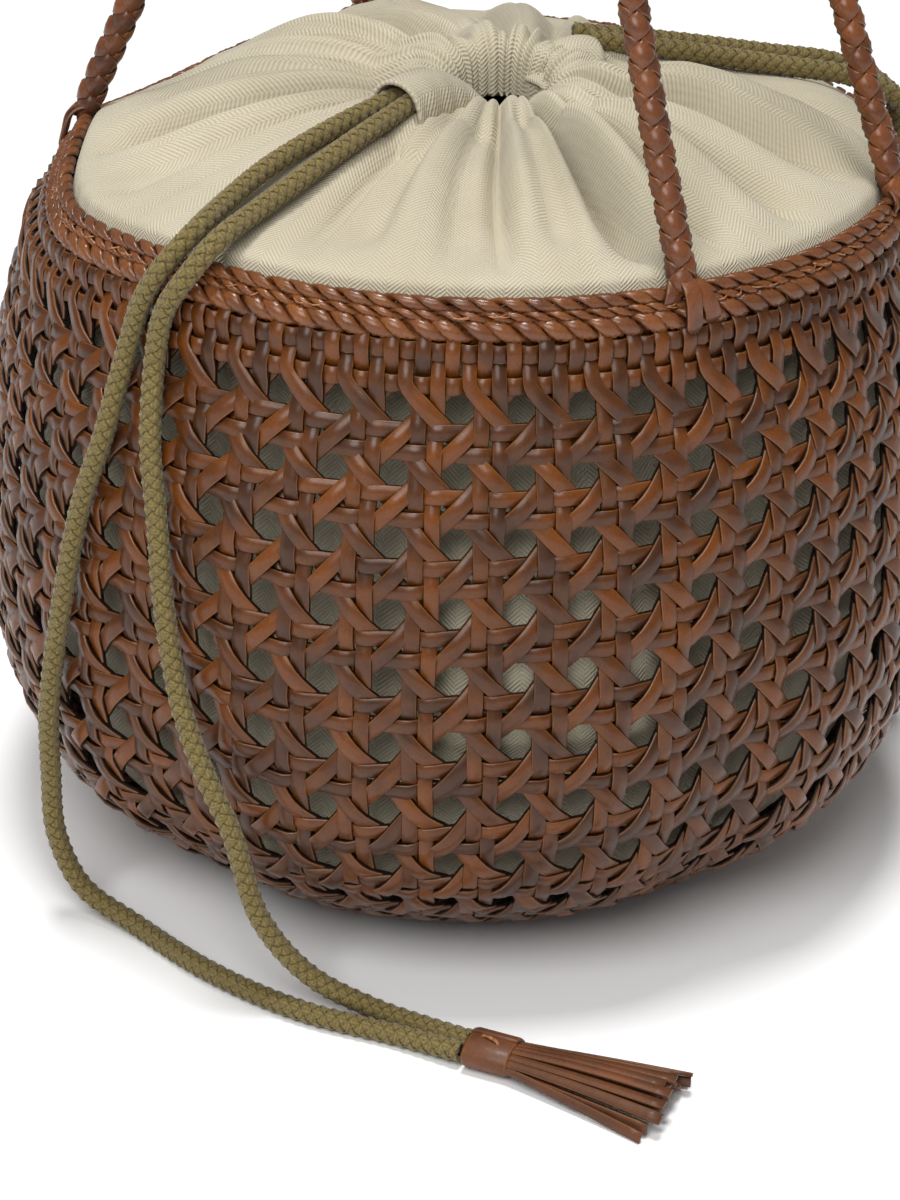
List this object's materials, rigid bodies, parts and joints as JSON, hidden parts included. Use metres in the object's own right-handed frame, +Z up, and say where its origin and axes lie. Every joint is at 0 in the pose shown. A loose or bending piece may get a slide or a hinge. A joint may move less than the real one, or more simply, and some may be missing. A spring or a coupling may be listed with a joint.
{
  "type": "woven leather bucket bag",
  "caption": "Round bucket bag of open-woven brown leather strips with a gathered canvas drawstring pouch, braided handles and cords that end in leather tassels.",
  "frame": {"origin": "centre of the flat base, on the surface that the bag stands on", "axes": "+Z up along the bag's axis; the handles run along X, and the front drawstring hangs on the -Y side"},
  "size_m": [0.2886, 0.2897, 0.3521],
  "materials": {
    "woven_leather": "waxed, semi-matt",
    "rim_leather": "waxed, satin",
    "braided_leather": "waxed, satin",
    "tassel_leather": "smooth, semi-matt",
    "canvas": "herringbone twill",
    "cotton_cord": "braided"
  },
  "bodies": {
    "root": {"basket_body": "woven_leather", "rim_twine": "rim_leather", "rim_edging": "rim_leather", "pouch": "canvas", "handle_front": "braided_leather", "handle_back": "braided_leather", "cord_front_a": "cotton_cord", "cord_front_b": "cotton_cord", "cord_back_a": "cotton_cord", "cord_back_b": "cotton_cord", "tassel_front": "tassel_leather", "tassel_back": "tassel_leather"}
  },
  "joints": []
}
